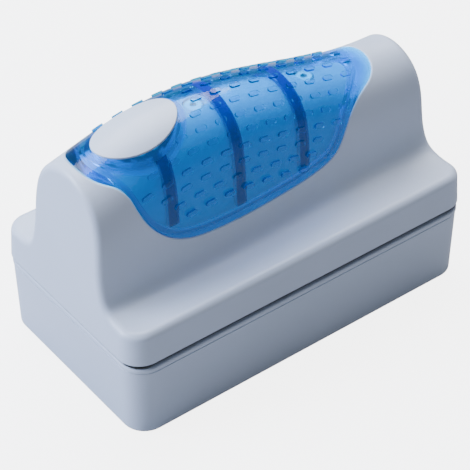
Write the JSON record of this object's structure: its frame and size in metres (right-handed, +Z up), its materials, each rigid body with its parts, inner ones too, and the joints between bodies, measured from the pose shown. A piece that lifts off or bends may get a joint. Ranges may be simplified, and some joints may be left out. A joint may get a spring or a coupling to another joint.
{
  "type": "magnetic glass cleaner",
  "caption": "Two-part magnetic glass cleaner: a bell-shaped handle with a clear blue nubbed grip on a felt pad, and a boxy scrubber with a scouring pad that clings to it.",
  "frame": {"origin": "centre of the footprint on the scrubber's underside", "axes": "+Z up through the handle, +X along the cleaner away from the end with the oval thumb rest, +Y across it"},
  "size_m": [0.11, 0.0604, 0.0727],
  "materials": {
    "white_abs": "moulded ABS, fine satin grain, cool white",
    "pale_abs": "moulded ABS, smooth satin, cool white",
    "blue_clear_plastic": "clear blue tinted polycarbonate, polished",
    "magnet_nickel": "nickel-plated sintered magnet",
    "keeper_steel": "zinc-plated mild steel",
    "screw_steel": "stainless steel",
    "adhesive_tape": "double-sided adhesive film",
    "black_felt": "pressed black felt",
    "scouring_pad": "non-woven nylon scouring web, charcoal",
    "closed_cell_foam": "closed-cell polyethylene foam",
    "seal_rubber": "grey silicone rubber"
  },
  "bodies": {
    "scrubber": {"scrubber_body": "white_abs", "scrubber_lid": "white_abs", "lid_seal": "seal_rubber", "scrubber_magnet_nose_right": "magnet_nickel", "scrubber_magnet_nose_left": "magnet_nickel", "scrubber_magnet_tail_right": "magnet_nickel", "scrubber_magnet_tail_left": "magnet_nickel", "scrubber_keeper_right": "keeper_steel", "scrubber_keeper_left": "keeper_steel", "float_foam": "closed_cell_foam", "lid_screws": "screw_steel", "scour_tape": "adhesive_tape", "scour_pad": "scouring_pad"},
    "handle": {"handle_shell": "white_abs", "grip_cover": "blue_clear_plastic", "thumb_rest": "pale_abs", "grip_screws": "screw_steel", "handle_base": "white_abs", "handle_magnet_nose_right": "magnet_nickel", "handle_magnet_nose_left": "magnet_nickel", "handle_magnet_tail_right": "magnet_nickel", "handle_magnet_tail_left": "magnet_nickel", "handle_keeper_right": "keeper_steel", "handle_keeper_left": "keeper_steel", "base_screws": "screw_steel", "felt_tape": "adhesive_tape", "felt_pad": "black_felt"}
  },
  "joints": [
    {"name": "handle_lift", "type": "slide", "parent": "scrubber", "child": "handle", "axis": [0, 0, 1], "range_m": [0, 0.04]}
  ]
}
